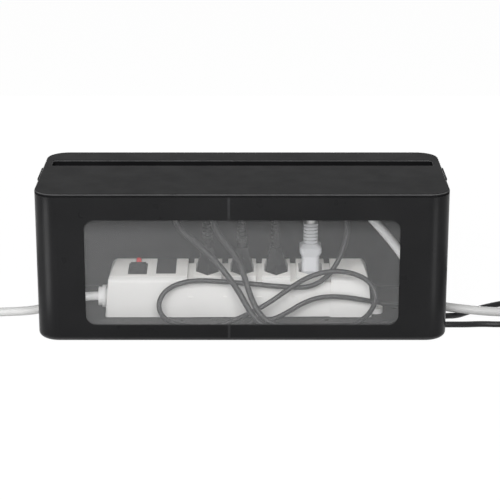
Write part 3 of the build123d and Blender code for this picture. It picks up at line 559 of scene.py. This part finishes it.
cord(
    "cord_4", cord_white, start=plug_end(3, WHITE_RELIEF), way=PLUG_WAY,
    route=CORD_4, diameter=WHITE_CORD,
    coil=dict(middle=(394, -57), angle=90, way=-1, turns=2.5, end_height=WHITE_END),
)
cord(
    "mains_lead", cord_white, start=GLAND_END, way=LEAD_WAY,
    route=LEAD, diameter=WHITE_CORD,
    coil=dict(middle=(-350, 36), angle=270, way=-1, turns=4.5, end_height=MAINS_END),
)


# Floor and world: plain white where they are seen, dimmer where they only light the object

FLOOR_HALF = 6.0
FLOOR_GREY = (0.62, 0.62, 0.62, 1)
FLOOR_WHITE_SHARE = 0.93
FLOOR_WHITE_STRENGTH = 1.04
WORLD_LIGHT_STRENGTH = 0.29
WORLD_WHITE_STRENGTH = 1.0
WHITE = (1, 1, 1, 1)


def seen(tree):
    """1 for what the camera sees, straight on, in a reflection or through the pane."""
    path = tree.nodes.new("ShaderNodeLightPath")
    reflected = worked_out(tree, "MAXIMUM", path.outputs["Is Camera Ray"], path.outputs["Is Glossy Ray"])
    return worked_out(tree, "MAXIMUM", reflected, path.outputs["Is Transmission Ray"])


def floor_material():
    """A white floor that keeps a little of the shadow where the camera sees it."""
    material, tree, output = new_material("floor_white")
    matt = tree.nodes.new("ShaderNodeBsdfDiffuse")
    matt.inputs["Color"].default_value = FLOOR_GREY
    glow = tree.nodes.new("ShaderNodeEmission")
    glow.inputs["Strength"].default_value = FLOOR_WHITE_STRENGTH
    share = worked_out(tree, "MULTIPLY", seen(tree), FLOOR_WHITE_SHARE)
    surface = mixed_shaders(tree, share, matt.outputs["BSDF"], glow.outputs["Emission"])
    tree.links.new(surface, output.inputs["Surface"])
    return material


def white_light(tree, strength):
    """Even white light from all around."""
    light = tree.nodes.new("ShaderNodeBackground")
    light.inputs["Color"].default_value = WHITE
    light.inputs["Strength"].default_value = strength
    return light.outputs["Background"]


floor_mesh = bpy.data.meshes.new("floor")
floor_corners = [
    (-FLOOR_HALF, -FLOOR_HALF, 0),
    (FLOOR_HALF, -FLOOR_HALF, 0),
    (FLOOR_HALF, FLOOR_HALF, 0),
    (-FLOOR_HALF, FLOOR_HALF, 0),
]
floor_mesh.from_pydata(floor_corners, [], [(0, 1, 2, 3)])
floor_mesh.materials.append(floor_material())
floor = link(bpy.data.objects.new("floor", floor_mesh))

world = bpy.data.worlds.new("studio")
bpy.context.scene.world = world
world.use_nodes = True
sky = world.node_tree
sky.nodes.clear()
sky_output = sky.nodes.new("ShaderNodeOutputWorld")
sky_light = white_light(sky, WORLD_LIGHT_STRENGTH)
sky_white = white_light(sky, WORLD_WHITE_STRENGTH)
sky_surface = mixed_shaders(sky, seen(sky), sky_light, sky_white)
sky.links.new(sky_surface, sky_output.inputs["Surface"])


# Lamps, and the camera as fitted to the photo

SENSOR_WIDTH = 36.0
PHOTO_WIDTH = 500
FOCAL_PIXELS = 1828.0
AIM = Vector((0.0076, 0.0, 0.06907))
ELEVATION = radians(17.627)
DISTANCE = 1.839


def toward(way):
    """The rotation of a lamp or camera that looks along a way."""
    return way.to_track_quat("-Z", "Y").to_euler()


def soft_lamp(name, place, aim, size, power):
    """A rectangular lamp that faces a point."""
    lamp = bpy.data.lights.new(name, "AREA")
    lamp.shape = "RECTANGLE"
    lamp.size, lamp.size_y = size
    lamp.energy = power
    piece = link(bpy.data.objects.new(name, lamp))
    piece.location = place
    piece.rotation_euler = toward(Vector(aim) - Vector(place))


soft_lamp("front_lamp", place=(-0.1, -1.18, 0.74), aim=(0, 0, 0.06), size=(0.9, 0.6), power=21)
soft_lamp("low_lamp", place=(0, -1.1, 0.12), aim=(0, 0, 0.09), size=(0.9, 0.2), power=2.2)
soft_lamp("top_lamp", place=(0, -0.1, 1.9), aim=(0, 0, 0.1), size=(1.8, 1.4), power=10)
soft_lamp("back_lamp", place=(0, 1.0, 0.07), aim=(0, 0, 0.07), size=(0.9, 0.1), power=4)
soft_lamp("left_card", place=(-0.271, -0.129, 0.06), aim=(-0.19, -0.07, 0.06), size=(0.05, 0.12), power=0.122)
soft_lamp("right_card", place=(0.254, -0.147, 0.06), aim=(0.19, -0.07, 0.06), size=(0.04, 0.12), power=0.057)

camera = bpy.data.cameras.new("camera")
camera.sensor_width = SENSOR_WIDTH
camera.lens = FOCAL_PIXELS / PHOTO_WIDTH * SENSOR_WIDTH
eye = link(bpy.data.objects.new("camera", camera))
forward = Vector((0, cos(ELEVATION), -sin(ELEVATION)))
eye.location = AIM - forward * DISTANCE
eye.rotation_euler = toward(forward)
bpy.context.scene.camera = eye
bpy.context.scene.view_settings.view_transform = "Standard"
